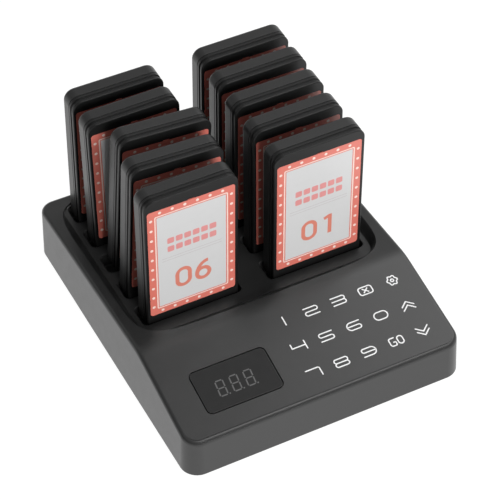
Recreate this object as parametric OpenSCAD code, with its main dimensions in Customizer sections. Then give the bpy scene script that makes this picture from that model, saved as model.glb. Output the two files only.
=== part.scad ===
// Guest pager system: a desk-top charging base with a touch keypad and ten guest pagers.
// Front is -Y, right is +X and up is +Z. The origin is at the centre of the footprint,
// on the surface that the rubber feet stand on. All sizes are in millimetres.

/* [Pagers] */
// Width of a pager
pager_w = 62; // [54:1:70]
// Height of a pager
pager_h = 110.5; // [104:0.5:120]
// Thickness of a pager, front to back
pager_t = 15.4; // [13:0.1:18]
// Corner radius of a pager, seen from the front
pager_r = 7; // [4:0.5:10]
// Radius round the rear edge of a pager
pager_edge_r = 2.2; // [1:0.1:3]
// Depth of a pager's front cover
front_cover_t = 6.1; // [5:0.1:7]
// Wall of a pager's two shells
pager_wall = 1.6; // [1.2:0.1:2]
// Width of a groove round a pager's side
groove_w = 2; // [1:0.1:2.4]
// Depth of a groove round a pager's side
groove_depth = 0.7; // [0.3:0.1:1]
// Width of the label card
card_w = 57.8; // [46:0.1:60]
// Height of the label card
card_h = 88.7; // [70:0.1:92]
// Thickness of the label card
card_t = 0.7; // [0.4:0.1:1]
// Height of the label card's lower edge above the pager's foot
card_rise = 14; // [10:0.5:18]
// Radius of the thumb notch above the label card
notch_r = 2.6; // [1.5:0.1:4]
// How far the thumb notch's centre lies below the card's upper edge
notch_drop = 1; // [0:0.1:1.4]

/* [How each pager stands, 01 to 10] */
// Lean of each pager, degrees, towards the back
pager_lean = [-2.2, -2.0, -2.1, -2.9, -3.2, -2.4, -1.9, -1.5, -1.9, -3.1];
// Tilt of each pager to the right, degrees
pager_tilt = [-0.4, -0.4, 0, -0.2, -0.2, 0, 3.2, 4.1, -0.4, 0.3];
// Sideways shift of each pager in its slot
pager_shift = [-0.2, -0.8, -0.7, 0.7, 1.2, -0.2, -1.8, 1.5, 0, -0.8];

/* [Slots] */
// Rows of slots, front to back
rows = 5; // [2:1:5]
// Room at each end of a slot
slot_end_gap = 2.8; // [2:0.1:5]
// Room in front of and behind a pager in its slot
slot_face_gap = 0.9; // [0.8:0.1:2]
// Rib between one slot and the next
slot_rib = 8.9; // [7:0.1:14]
// Space between the two columns of slots
column_gap = 19.3; // [10:0.1:40]
// Corner radius of a slot
slot_r = 3.2; // [1:0.1:5]
// Depth of a slot below the pocket floor
slot_depth = 10; // [8:0.5:14]
// Height of the contact platform in the middle of a slot's floor
platform_h = 1.4; // [1:0.1:2]
// Half length of the contact platform
platform_half = 12; // [9:0.5:16]
// Height that a pager is modelled above its platform
seat_gap = 0.3; // [0.2:0.05:0.5]

/* [Base] */
// Height of the deck at the back
rear_h = 37; // [34:0.5:42]
// Height of the bend between deck and front panel
bend_h = 44; // [42:0.5:50]
// Height of the front edge
front_h = 27.4; // [24:0.2:32]
// Run of the front panel, front to back
panel_run = 72; // [66:1:90]
// From the bend to the first slot
front_strip = 24.1; // [20:0.1:36]
// From the last slot to the back
rear_strip = 12.3; // [11:0.1:30]
// From a slot's end to the side
side_strip = 17.75; // [16:0.25:40]
// Wall of the base shell
shell_wall = 2.4; // [1.8:0.1:3]
// Draft of the side walls, degrees
draft = 2.3; // [1:0.1:4]
// Corner radius of the base, seen from above
corner_r = 11.5; // [8:0.5:16]
// Fillet round the top edge
edge_r = 2.6; // [1.5:0.1:4]
// Radius of the bend between deck and front panel
bend_r = 45; // [20:1:70]

/* [Pocket] */
// Height of the pocket floor above the shell's lower edge
pocket_h = 36.2; // [34:0.1:36.5]
// From a slot's end to the foot of the pocket's side wall
pocket_side = 3.6; // [3:0.1:6]
// From the first slot to the foot of the pocket's front wall
pocket_front = 9.5; // [6:0.1:12]
// From the last slot to the foot of the pocket's rear wall
pocket_rear = 3; // [2:0.1:5]
// Run of the side wall between foot and rim
pocket_side_run = 5.4; // [4:0.1:7]
// Run of the front wall between foot and rim
pocket_front_run = 9; // [6:0.1:12]
// Run of the rear wall between foot and rim
pocket_rear_run = 3; // [2:0.1:5]

/* [Front panel] */
// Pitch of the touch keys, both ways (column pitch first)
key_pitch = [19.05, 20.1];
// Columns and rows of touch keys
key_count = [5, 3];
// First touch key: distance right of the middle, and up the panel from the front edge
key_first = [-1.3, 17.8];
// Width of the display window
window_w = 50.4; // [40:0.1:60]
// Height of the display window, along the panel
window_h = 29; // [22:0.1:34]
// Centre of the display window: distance from the base's left side, and up the panel
window_at = [48, 32.6];
// Corner radius of the display window
window_r = 3.6; // [2:0.1:5]
// Thickness of the display window
window_t = 1.4; // [1:0.1:1.6]

/* [Bottom] */
// Height that the rubber feet lift the base
foot_h = 1; // [0.8:0.1:2]
// Diameter of a rubber foot
foot_d = 12; // [8:1:16]
// Thickness of the bottom cover
cover_t = 2.2; // [1.8:0.1:3]
// Shadow gap under the shell's lower edge
seam_h = 0.6; // [0.3:0.1:1]
// Distance of the cover screws in from the shell's side
screw_inset = 8; // [7.5:0.5:10]

/* [Electronics] */
// Thickness of a circuit board
board_t = 1.6; // [1:0.1:2]
// Distance between the two charging contacts of a slot
contact_pitch = 12; // [8:0.5:16]
// Diameter of a charging pin's plunger
pin_d = 1.4; // [1:0.1:2]
// Diameter of the power inlet's bore
inlet_d = 5.6; // [5:0.1:6.5]
// Place of the power inlet, right of the middle
inlet_x = 58; // [40:1:66]
// Place of the power switch, right of the middle
switch_x = 24; // [10:1:36]
// Width of the power switch's rocker
rocker_w = 9; // [7:0.5:11]
// Height of the power switch's rocker
rocker_h = 13; // [11:0.5:14]
// Angle that the rocker turns through, degrees
rocker_throw = 20; // [10:1:24]

/* [Hidden] */
PAGERS = [for (i = [1:2 * rows]) i];
function pager_name(i) = str("pager_", i < 10 ? "0" : "", i);
BASE_NODES = [
    "top_shell", "bottom_cover", "rubber_feet", "cover_screws", "charging_boards", "contact_pins",
    "board_screws", "main_board", "touch_key_board", "display_window", "display_module",
    "radio_module", "buzzer", "power_inlet", "switch_housing", "switch_rocker"
];
PAGER_PARTS = ["rear_shell", "front_cover", "label_card", "electronics"];

$fn = 48;
eps = 0.01;
far = 400;

// Colours
black_plastic = [0.16, 0.16, 0.16];
gloss_black = [0.05, 0.05, 0.055];
board_green = [0.05, 0.3, 0.16];
label_red = [0.9, 0.42, 0.36];
metal = [0.75, 0.74, 0.7];
gold = [0.83, 0.66, 0.28];
rubber_black = [0.1, 0.1, 0.1];

// Layout of the base, worked out from the pagers and slots
slot_l = pager_w + 2 * slot_end_gap;
slot_w = pager_t + 2 * slot_face_gap;
slot_pitch = slot_w + slot_rib;
block_d = rows * slot_w + (rows - 1) * slot_rib;
base_w = 2 * slot_l + column_gap + 2 * side_strip;
base_d = panel_run + front_strip + block_d + rear_strip;
column_x = (slot_l + column_gap) / 2;
window_x = window_at[0] - base_w / 2;
front_y = -base_d / 2;
rear_y = base_d / 2;
bend_y = front_y + panel_run;
first_slot_y = bend_y + front_strip;
last_slot_y = first_slot_y + block_d;

// Heights above the table
shell_z = foot_h + seam_h;
body_h = bend_h + foot_h;
pocket_z = pocket_h + foot_h;
well_z = pocket_z - slot_depth;
platform_z = well_z + platform_h;
pager_z = platform_z + seat_gap;
cover_z = foot_h + cover_t;

// Slopes of the deck and of the front panel
deck_a = atan((bend_h - rear_h) / (rear_y - bend_y));
panel_a = atan((bend_h - front_h) / panel_run);
function deck_z(y) = body_h - (y - bend_y) * tan(deck_a);

// Centre of the bend's arc, below the line where the two slopes would meet
bend_half = (deck_a + panel_a) / 2;
bend_turn = (deck_a - panel_a) / 2;
bend_c = [bend_y - bend_r / cos(bend_half) * sin(bend_turn),
          body_h - bend_r / cos(bend_half) * cos(bend_turn)];

// Slope of a wall with draft, as run for each unit of height
lean_in = tan(draft);

// ---------------------------------------------------------------- shared shapes

// Rectangle with round corners, centred
module round_rect(w, d, r) {
    square([w - 2 * r, d], center = true);
    square([w, d - 2 * r], center = true);
    for (x = [-1, 1]) {
        for (y = [-1, 1]) {
            translate([x * (w / 2 - r), y * (d / 2 - r)]) circle(r);
        }
    }
}

// Plate with round corners, from z = 0 up
module plate(w, d, r, t) {
    linear_extrude(t) round_rect(w, d, r);
}

// Rows and columns of slots: centre of slot i, where pager i stands
function slot_row(i) = (i - 1) % rows;
function slot_x(i) = i <= rows ? column_x : -column_x;
function slot_y(i) = first_slot_y + slot_w / 2 + slot_row(i) * slot_pitch;

module at_each_slot() {
    for (i = PAGERS) {
        translate([slot_x(i), slot_y(i), 0]) children();
    }
}

// Frame of the front panel: x right, y up the slope from the front edge, z out of the panel
module on_panel() {
    translate([0, front_y, foot_h + front_h]) rotate([panel_a, 0, 0]) children();
}

// Frame of the rear wall at a height: x right, y out of the wall
module on_rear_wall(x, z) {
    translate([x, rear_y - (z - foot_h) * lean_in, z]) rotate([draft, 0, 0]) children();
}

// ---------------------------------------------------------------- base: top shell

// Height of the body's top at y, lowered by drop: front panel, bend and deck
function bend_end_y(a, drop) = bend_c[0] + (bend_r - drop) * sin(a);
function top_z(y, drop) =
    y < bend_end_y(-panel_a, drop) ? body_h - (bend_y - y) * tan(panel_a) - drop / cos(panel_a)
    : y > bend_end_y(deck_a, drop) ? deck_z(y) - drop / cos(deck_a)
    : bend_c[1] + sqrt(pow(bend_r - drop, 2) - pow(y - bend_c[0], 2));

// Right half of the body's outline, front to back, as [arc centre, direction] pairs: the front
// corner, the points where the side crosses the bend, and the rear corner
corner_x = base_w / 2 - corner_r;
corner_y = base_d / 2 - corner_r;
corner_steps = 6;
bend_steps = 6;
function half_outline(drop) = concat(
    [for (i = [0:corner_steps]) let (a = -90 + 90 * i / corner_steps)
        [[corner_x, -corner_y], [cos(a), sin(a)]]],
    [for (i = [0:bend_steps]) let (a = -panel_a + (panel_a + deck_a) * i / bend_steps)
        [[corner_x, bend_end_y(a, drop)], [1, 0]]],
    [for (i = [0:corner_steps]) let (a = 90 * i / corner_steps)
        [[corner_x, corner_y], [cos(a), sin(a)]]]);

// Point of the outline drawn in by inset, at z_low or, where z_low is undef, down below the top
function wall_point(spot, inset, drop, down, z_low) =
    let (y = spot[0][1] + (corner_r - inset) * spot[1][1],
         z = is_undef(z_low) ? top_z(y, drop) - down : z_low,
         r = corner_r - inset - (z - foot_h) * lean_in)
    [spot[0][0] + r * spot[1][0], spot[0][1] + r * spot[1][1], z];
function wall_ring(inset, drop, down, z_low) =
    let (right = [for (spot = half_outline(drop)) wall_point(spot, inset, drop, down, z_low)],
         m = len(right))
    concat(right, [for (i = [m - 1:-1:0]) [-right[i][0], right[i][1], right[i][2]]]);

// Drafted body under the panel, bend and deck, drawn in by inset and lowered by drop, with its
// top edge rounded to radius round_r in quarter-circle steps. The top is made of level strips
// that run right across, so that the panel and the deck stay flat.
module body_loft(inset, drop, z_low, round_r, steps) {
    rings = concat([wall_ring(inset, drop, 0, z_low)],
        [for (k = [0:steps]) let (a = steps == 0 ? 90 : 90 * k / steps)
            wall_ring(inset + round_r * (1 - cos(a)), drop, round_r * (1 - sin(a)), undef)]);
    n = len(rings[0]);
    last = len(rings) - 1;
    sides = [for (j = [0:last - 1]) for (i = [0:n - 1]) let (k = (i + 1) % n)
        each [[j * n + i, (j + 1) * n + i, (j + 1) * n + k], [j * n + i, (j + 1) * n + k, j * n + k]]];
    strips = [for (i = [0:n / 2 - 2]) [for (v = [i, n - 1 - i, n - 2 - i, i + 1]) last * n + v]];
    floor_face = [for (i = [0:n - 1]) i];
    polyhedron([for (ring = rings) each ring], concat(sides, strips, [floor_face]));
}

module body() {
    body_loft(0, 0, shell_z, edge_r, 4);
}

// Space inside the body
module cavity() {
    body_loft(shell_wall, shell_wall, 0, 0, 0);
}

// Outline point of the pocket, a superellipse with soft corners, at share s from foot to rim
foot_half = [column_x + slot_l / 2 + pocket_side, (block_d + pocket_front + pocket_rear) / 2];
foot_mid = (first_slot_y - pocket_front + last_slot_y + pocket_rear) / 2;
rim_half = [foot_half[0] + pocket_side_run, foot_half[1] + (pocket_front_run + pocket_rear_run) / 2];
rim_mid = foot_mid + (pocket_rear_run - pocket_front_run) / 2;
foot_power = 16;
rim_power = 7;
function signed_power(v, p) = sign(v) * pow(abs(v), p);
function superellipse(a, half, mid, power) =
    [half[0] * signed_power(cos(a), 2 / power), mid + half[1] * signed_power(sin(a), 2 / power)];
function pocket_point(a, s, grow) =
    superellipse(a, foot_half + [grow, grow], foot_mid, foot_power) * (1 - s)
    + superellipse(a, rim_half + [grow, grow], rim_mid, rim_power) * s;

// Height of the pocket's wall at share s of its run: a slope that eases off at foot and rim
function wall_rise(s) = (s + (1 - cos(180 * s)) / 2) / 2;

// Body of the pocket: a loft from the level foot to the sloping deck. With grow and drop it is
// the tub round the pocket.
module pocket_loft(grow, drop, points_round, rings) {
    angles = [for (i = [0:points_round - 1]) 360 * (i + 0.5) / points_round];
    wall_points = [for (j = [0:rings]) for (a = angles)
        let (s = j / rings, p = pocket_point(a, s, grow), low = pocket_z - drop)
        [p[0], p[1], low + (top_z(p[1], 0) + 0.2 - low) * wall_rise(s)]];
    top_points = [for (a = angles)
        let (p = pocket_point(a, 1, grow)) [p[0], p[1], body_h + 10]];
    n = points_round;
    side = [for (j = [0:rings]) for (i = [0:n - 1]) let (k = (i + 1) % n)
        each [[j * n + i, (j + 1) * n + i, (j + 1) * n + k], [j * n + i, (j + 1) * n + k, j * n + k]]];
    polyhedron(concat(wall_points, top_points),
        concat(side, [[for (i = [0:n - 1]) i]], [[for (i = [n - 1:-1:0]) (rings + 1) * n + i]]));
}

tub_wall = 2.2;
well_wall = 1.8;
well_floor = 1.8;
boss_d = 7;
boss_bore_d = 2.6;
board_boss_d = 5;
board_bore_d = 2;
board_z = well_z - well_floor - 2.5;
window_step = 2.2;
module_drop = 8.2;
module_post_d = 4;

// Places of the cover screws, three down each side
screw_x = base_w / 2 - screw_inset;
screw_ys = [front_y + 16, first_slot_y + slot_w + slot_rib / 2, rear_y - 16];
module at_each_cover_screw() {
    for (x = [-screw_x, screw_x]) {
        for (y = screw_ys) {
            translate([x, y, 0]) children();
        }
    }
}

// Places of the charging boards' screws, in the first and last ribs between the slots
board_screw_dx = 16;
board_screw_rows = [1, max(rows - 1, 1)];
module at_each_board_screw() {
    for (x = [-column_x, column_x]) {
        for (dx = [-board_screw_dx, board_screw_dx]) {
            for (row = board_screw_rows) {
                translate([x + dx, first_slot_y + row * slot_pitch - slot_rib / 2, 0]) children();
            }
        }
    }
}

// Places of the posts that hold the display module, on the panel's underside
display_board = [window_w + 8, window_h + 8];
module at_each_display_post() {
    for (x = [-1, 1]) {
        for (y = [-1, 1]) {
            translate([window_x + x * (display_board[0] / 2 - 3),
                       window_at[1] + y * (display_board[1] / 2 - 3), 0]) children();
        }
    }
}

// Walls of one well, hanging from the pocket floor
module well_block() {
    translate([0, 0, well_z - well_floor])
        plate(slot_l + 2 * well_wall, slot_w + 2 * well_wall, slot_r + well_wall,
            pocket_z - well_z + well_floor - eps);
}

// Opening of one slot, with the contact platform left standing on its floor
module slot_cut() {
    difference() {
        translate([0, 0, well_z]) plate(slot_l, slot_w, slot_r, pocket_z - well_z + 5);
        translate([0, 0, well_z - 1]) plate(2 * platform_half, slot_w + 2, 1, 1 + platform_h);
    }
    for (x = [-1, 1]) {
        translate([x * contact_pitch / 2, 0, well_z - well_floor - 1]) cylinder(d = pin_d + 0.6, h = far);
    }
}

// Ribs, wells and bosses inside the shell, before they are trimmed to the body
module inside_features() {
    pocket_loft(tub_wall, tub_wall, 32, 3);
    at_each_slot() well_block();
    at_each_cover_screw() translate([0, 0, cover_z]) cylinder(d = boss_d, h = far);
    at_each_board_screw() translate([0, 0, board_z]) cylinder(d = board_boss_d, h = pocket_z - board_z - 1);
    on_rear_wall(switch_x, switch_z) translate([0, -switch_recess - shell_wall, 0]) rotate([-90, 0, 0])
        plate(switch_bezel[0] + 6, switch_bezel[1] + 6, 2, switch_recess + shell_wall - eps);
}

module top_shell() {
    color(black_plastic) difference() {
        union() {
            difference() {
                body();
                cavity();
            }
            intersection() {
                inside_features();
                body_loft(shell_wall / 2, shell_wall / 2, shell_z, 0, 0);
            }
            on_panel() at_each_display_post() translate([0, 0, -module_drop])
                cylinder(d = module_post_d, h = module_drop - shell_wall + 0.5);
        }
        pocket_loft(0, 0, 48, 5);
        at_each_slot() slot_cut();
        at_each_cover_screw() translate([0, 0, cover_z - 1]) cylinder(d = boss_bore_d, h = 13);
        at_each_board_screw() translate([0, 0, board_z - 1]) cylinder(d = board_bore_d, h = 8);
        on_panel() translate([window_x, window_at[1], -window_t]) {
            plate(window_w + 0.4, window_h + 0.4, window_r + 0.2, far);
            translate([0, 0, -far / 2])
                plate(window_w - 2 * window_step, window_h - 2 * window_step, window_r - 1, far);
        }
        on_rear_wall(inlet_x, inlet_z) rotate([90, 0, 0])
            cylinder(d = inlet_snout_d + 0.4, h = 20, center = true);
        on_rear_wall(switch_x, switch_z) translate([0, -switch_recess, 0]) rotate([-90, 0, 0])
            plate(switch_bezel[0] + 1.6, switch_bezel[1] + 1.6, 1.2, far);
        on_rear_wall(switch_x, switch_z)
            cube([switch_body[0] + 0.3, 30, switch_body[1] + 0.3], center = true);
    }
}

// ---------------------------------------------------------------- base: bottom

foot_recess = 0.8;
foot_inset = 18;
head_d = 5.4;
head_h = 1.6;
cover_screw_l = 12;
board_hole_d = 2.4;
board_head_d = 4;
board_head_h = 1.2;
board_screw_l = 7;
main_screw_l = 6;
locating_lip_h = 3;
standoff_h = 6;
standoff_d = 6;
main_board_inset = 20;
main_board_z = cover_z + standoff_h;
main_board_size = [base_w - 2 * main_board_inset, panel_run - main_board_inset];
main_board_y = front_y + 14 + main_board_size[1] / 2;
main_board_top = main_board_z + board_t;
main_screw_inset = 5;
upper_parts_y = main_board_y + 0.15 * main_board_size[1];
module at_each_main_board_screw() {
    for (x = [-1, 1]) {
        for (y = [-1, 1]) {
            translate([x * (main_board_size[0] / 2 - main_screw_inset),
                       main_board_y + y * (main_board_size[1] / 2 - main_screw_inset), 0]) children();
        }
    }
}

module at_each_foot() {
    for (x = [-1, 1]) {
        for (y = [-1, 1]) {
            translate([x * (base_w / 2 - foot_inset - 6), y * (base_d / 2 - foot_inset), 0]) children();
        }
    }
}

// Flat tray that closes the base, with a lip that locates it inside the shell
module bottom_cover() {
    lip_out = shell_wall + 0.25;
    color(black_plastic) difference() {
        union() {
            translate([0, 0, foot_h]) plate(base_w - 1.4, base_d - 1.4, corner_r - 0.7, seam_h);
            translate([0, 0, foot_h])
                plate(base_w - 2 * lip_out - 1, base_d - 2 * lip_out - 1, corner_r - lip_out, cover_t);
            difference() {
                translate([0, 0, foot_h])
                    plate(base_w - 2 * lip_out - 1, base_d - 2 * lip_out - 1, corner_r - lip_out,
                        cover_t + locating_lip_h);
                translate([0, 0, foot_h])
                    plate(base_w - 2 * lip_out - 5, base_d - 2 * lip_out - 5, corner_r - lip_out - 2, far);
                at_each_cover_screw() translate([0, 0, cover_z]) cylinder(d = boss_d + 1, h = far);
                translate([inlet_x, rear_y, cover_z + 10]) cube([inlet_body[0] + 1, 20, 20], center = true);
            }
            at_each_main_board_screw() translate([0, 0, foot_h])
                cylinder(d = standoff_d, h = main_board_z - foot_h);
        }
        at_each_cover_screw() {
            cylinder(d = 3.4, h = far);
            translate([0, 0, foot_h - 1]) cylinder(d = head_d + 0.6, h = head_h + 1);
        }
        at_each_main_board_screw() translate([0, 0, foot_h + 1.2]) cylinder(d = board_bore_d, h = far);
        at_each_foot() translate([0, 0, foot_h - 1]) cylinder(d = foot_d + 0.4, h = foot_recess + 1);
    }
}

module rubber_feet() {
    color(rubber_black) at_each_foot() cylinder(d = foot_d, h = foot_h + foot_recess);
}

// Pan-head screw with its head down, standing on z = 0
module screw_up(head, head_t, shank, length) {
    cylinder(d = head, h = head_t);
    cylinder(d = shank, h = length);
}

module cover_screws() {
    color(metal) at_each_cover_screw() translate([0, 0, foot_h])
        screw_up(head_d, head_h, boss_bore_d - 0.1, cover_screw_l);
}

module board_screws() {
    shank_d = board_bore_d - 0.1;
    color(metal) {
        at_each_board_screw() translate([0, 0, board_z - board_t - board_head_h])
            screw_up(board_head_d, board_head_h, shank_d, board_screw_l);
        at_each_main_board_screw() translate([0, 0, main_board_top + board_head_h]) mirror([0, 0, 1])
            screw_up(board_head_d, board_head_h, shank_d, main_screw_l);
    }
}

// ---------------------------------------------------------------- base: electronics

charging_board_w = 2 * board_screw_dx + 8;

// One charging board under each column of wells, with a charge controller for each slot
module charging_boards() {
    color(board_green) for (x = [-column_x, column_x]) {
        translate([x, (first_slot_y + last_slot_y) / 2, board_z - board_t]) difference() {
            plate(charging_board_w, block_d - 6, 2, board_t);
            for (dx = [-board_screw_dx, board_screw_dx]) {
                for (row = board_screw_rows) {
                    translate([dx, row * slot_pitch - slot_rib / 2 - block_d / 2, -1])
                        cylinder(d = board_hole_d, h = board_t + 2);
                }
            }
        }
        for (row = [0:rows - 1]) {
            translate([x, slot_y(row + 1), board_z - board_t - 0.6]) cube([5, 4, 1.2], center = true);
        }
    }
}

// Two sprung pins in each well: a barrel on the board and a plunger that the pager presses down
module contact_pins() {
    color(gold) at_each_slot() for (x = [-1, 1]) {
        translate([x * contact_pitch / 2, 0, board_z]) {
            cylinder(d = pin_d + 1, h = 2.2);
            cylinder(d = pin_d, h = platform_z + 0.15 - board_z);
        }
    }
}

// Processor and voltage regulator on the main board
processor = [10, 10, 1.2];
regulator = [14, 8, 3];
module main_board() {
    color(board_green) {
        difference() {
            translate([0, main_board_y, main_board_z])
                plate(main_board_size[0], main_board_size[1], 2, board_t);
            at_each_main_board_screw() translate([0, 0, main_board_z - 1])
                cylinder(d = board_hole_d, h = board_t + 2);
        }
        translate([-0.07 * main_board_size[0], main_board_y, main_board_top + processor[2] / 2])
            cube(processor, center = true);
        translate([0.27 * main_board_size[0], main_board_y - 10, main_board_top + regulator[2] / 2])
            cube(regulator, center = true);
    }
}

// Touch-sensing board, glued to the panel's underside, with one round pad under each key
module touch_key_board() {
    border = 8;
    span = [(key_count[0] - 1) * key_pitch[0], (key_count[1] - 1) * key_pitch[1]];
    color(board_green) on_panel() translate([key_first[0] + span[0] / 2, key_first[1] + span[1] / 2,
            -shell_wall - board_t])
        plate(span[0] + 2 * border, span[1] + 2 * border, 3, board_t);
}

module display_window() {
    color(gloss_black) on_panel() translate([window_x, window_at[1], -window_t])
        plate(window_w, window_h, window_r, window_t - 0.15);
}

// Three seven-segment digits in one block, on a board that the posts hold
module display_module() {
    digit_block = [window_w - 12, window_h - 10, module_drop - window_t - 0.3];
    color([0.1, 0.1, 0.11]) on_panel() {
        translate([window_x, window_at[1], -module_drop - board_t])
            plate(display_board[0], display_board[1], 2, board_t);
        translate([window_x - digit_block[0] / 2, window_at[1] - digit_block[1] / 2, -module_drop])
            cube(digit_block);
    }
}

// Radio board on edge connectors, with its coil antenna lying beside it
radio_board = [26, 16, 1.2];
radio_can = [10, 10, 1.4];
radio_coil_d = 4;
radio_coil_l = 20;
module radio_module() {
    color([0.1, 0.2, 0.45]) translate([-0.3 * main_board_size[0], upper_parts_y, main_board_top]) {
        cube(radio_board);
        translate([3, 3, radio_board[2]]) cube(radio_can);
        translate([2, radio_board[1] - 1.6, radio_board[2] + 1.8]) rotate([0, 90, 0])
            cylinder(d = radio_coil_d, h = radio_coil_l);
    }
}

buzzer_d = 12;
buzzer_h = 6;
module buzzer() {
    color([0.08, 0.08, 0.08]) translate([0.13 * main_board_size[0], upper_parts_y, main_board_top])
        difference() {
            cylinder(d = buzzer_d, h = buzzer_h);
            translate([0, 0, buzzer_h - 2]) cylinder(d = 2.2, h = 4);
        }
}

inlet_body = [9.4, 12, 11];
inlet_snout_d = 8;
inlet_z = cover_z + inlet_body[2] / 2;
inlet_depth = 9;

// Barrel socket: a block on the bottom cover, with a round snout through the rear wall
module power_inlet() {
    wall_y = rear_y - (inlet_z - foot_h) * lean_in;
    back_y = wall_y - shell_wall - 0.3;
    color([0.12, 0.12, 0.12]) difference() {
        union() {
            translate([inlet_x - inlet_body[0] / 2, back_y - inlet_body[1], cover_z])
                cube(inlet_body);
            translate([inlet_x, back_y - 1, inlet_z]) rotate([-90, 0, 0])
                cylinder(d = inlet_snout_d, h = shell_wall + 1);
        }
        translate([inlet_x, wall_y + 1, inlet_z]) rotate([90, 0, 0]) difference() {
            cylinder(d = inlet_d, h = inlet_depth + 1);
            translate([0, 0, 2]) cylinder(d = 2, h = far);
        }
    }
}

switch_z = 17.5;
switch_recess = 2;
switch_bezel = [rocker_w + 4, rocker_h + 3];
switch_body = [rocker_w + 2, rocker_h + 1];
rocker_gap = 0.3;

// Frame and box of the rocker switch, snapped into the rear wall's recess
module switch_housing() {
    color([0.08, 0.08, 0.08]) on_rear_wall(switch_x, switch_z) translate([0, -switch_recess, 0])
        difference() {
            union() {
                rotate([-90, 0, 0]) plate(switch_bezel[0], switch_bezel[1], 1.2, 1);
                translate([-switch_body[0] / 2, -10, -switch_body[1] / 2])
                    cube([switch_body[0], 10.2, switch_body[1]]);
            }
            translate([-rocker_w / 2 - rocker_gap, -8, -rocker_h / 2 - rocker_gap])
                cube([rocker_w + 2 * rocker_gap, 20, rocker_h + 2 * rocker_gap]);
        }
}

// Rocker: a round-backed key with a shallow V face. It is drawn in its middle place and
// turned to "off", with its upper half out.
rocker_r = rocker_h / 2 - 0.15;
module rocker_body() {
    rotate([90, 0, 90]) linear_extrude(rocker_w, center = true) intersection() {
        circle(rocker_r, $fn = 64);
        polygon([[-rocker_r, -rocker_r], [-rocker_r, rocker_r], [1.4, rocker_r], [0.2, 0],
                 [1.4, -rocker_r]]);
    }
}
module switch_rocker() {
    color([0.1, 0.1, 0.1]) on_rear_wall(switch_x, switch_z) translate([0, -switch_recess + 0.1, 0])
        rotate([-rocker_throw / 2, 0, 0]) rocker_body();
}

// ---------------------------------------------------------------- pagers

// A pager that tilts rocks on the edge of its platform, so its middle is lifted by this much
function rocked_up(i) = platform_half * sin(abs(pager_tilt[i - 1]));

// Frame of pager i: x right, y back from the front face, z up from the foot
module on_pager(i) {
    translate([slot_x(i) + pager_shift[i - 1], slot_y(i) - pager_t / 2, pager_z + rocked_up(i)])
        rotate([-pager_lean[i - 1], 0, 0]) rotate([0, pager_tilt[i - 1], 0]) children();
}

// Upright plate with round corners, from depth y_front back by t, drawn in by inset
module pager_slab(y_front, t, inset) {
    translate([0, y_front + t, pager_h / 2]) rotate([90, 0, 0])
        plate(pager_w - 2 * inset, pager_h - 2 * inset, pager_r - inset, t);
}

joint_w = 0.4;
card_sunk = 0.1;

// Rear shell: a tray with a round rear edge, and five sound holes in its back
module pager_rear_shell(i) {
    y0 = front_cover_t + joint_w;
    steps = 3;
    color(black_plastic) on_pager(i) difference() {
        union() {
            hull() {
                pager_slab(y0, eps, 0, $fn = 24);
                for (k = [0:steps]) {
                    a = 90 * k / steps;
                    pager_slab(pager_t - pager_edge_r * (1 - sin(a)) - eps, eps,
                        pager_edge_r * (1 - cos(a)), $fn = 24);
                }
            }
            pager_slab(front_cover_t, joint_w + 0.1, groove_depth);
        }
        pager_slab(front_cover_t - 1, pager_t - front_cover_t + 1 - pager_wall, pager_wall);
        for (k = [-2:2]) {
            translate([k * 3, pager_t - pager_wall - 1, pager_h - 24]) rotate([-90, 0, 0])
                cylinder(d = 1.4, h = 5, $fn = 24);
        }
        for (x = [-1, 1]) {
            translate([x * contact_pitch / 2, pager_t / 2 + 1.5, -1]) cylinder(d = 4.4, h = pager_wall + 2);
        }
    }
}

// Front cover: face plate with a recess for the label card, and two ridges with a groove
// between them round its side
module pager_front_cover(i) {
    ridge_t = (front_cover_t - groove_w) / 2;
    bevel = 0.5;
    color(gloss_black) on_pager(i) difference() {
        union() {
            hull() {
                pager_slab(0, eps, bevel, $fn = 24);
                pager_slab(bevel, ridge_t - bevel, 0, $fn = 24);
            }
            pager_slab(ridge_t, groove_w, groove_depth);
            pager_slab(ridge_t + groove_w, ridge_t, 0);
        }
        pager_slab(1.8, front_cover_t, pager_wall + groove_depth);
        card_frame() translate([0, -1, 0]) rotate([-90, 0, 0])
            plate(card_w + 0.3, card_h + 0.3, 2, card_t + card_sunk + 1);
        translate([0, -1, card_rise + card_h - notch_drop]) rotate([-90, 0, 0])
            cylinder(r = notch_r, h = card_t + card_sunk + 1);
    }
}

// Frame at the middle of the label card
module card_frame() {
    translate([0, 0, card_rise + card_h / 2]) children();
}

module pager_label_card(i) {
    color(label_red) on_pager(i) card_frame() translate([0, card_sunk, 0]) rotate([-90, 0, 0])
        plate(card_w, card_h, 1.9, card_t);
}

// Board, cell, vibration motor, buzzer, indicator lamps and charging pads, as separate pieces
module pager_electronics(i) {
    y_board = 4;
    thin_board_t = 1.2;
    board_back = y_board + thin_board_t;
    tape = 0.1;
    cell = [34, 5, 44];
    color(board_green) on_pager(i) {
        translate([-pager_w / 2 + 4, y_board, 12]) cube([pager_w - 8, thin_board_t, pager_h - 22]);
        translate([-cell[0] / 2, board_back + tape, 34]) cube(cell);
        translate([-16, board_back + tape, pager_h - 22]) rotate([-90, 0, 0]) cylinder(d = 10, h = 2.8);
        translate([0, board_back + tape, pager_h - 24]) rotate([-90, 0, 0]) cylinder(d = 9, h = 4);
        for (x = [-1, 1]) {
            for (k = [0:2]) {
                translate([x * 23 - 1, y_board - 1, 30 + 24 * k]) cube([2, 1, 2]);
            }
            translate([x * contact_pitch / 2, pager_t / 2 + 1.5, 0.05]) cylinder(d = 4, h = pager_wall + 0.6);
            translate([x * contact_pitch / 2 - 1, board_back, pager_wall + 0.65]) cube([2, 5.5, 0.6]);
            translate([x * contact_pitch / 2 - 1, board_back, pager_wall + 1.25]) cube([2, 0.6, 14]);
        }
    }
}

// ---------------------------------------------------------------- drawing

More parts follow.
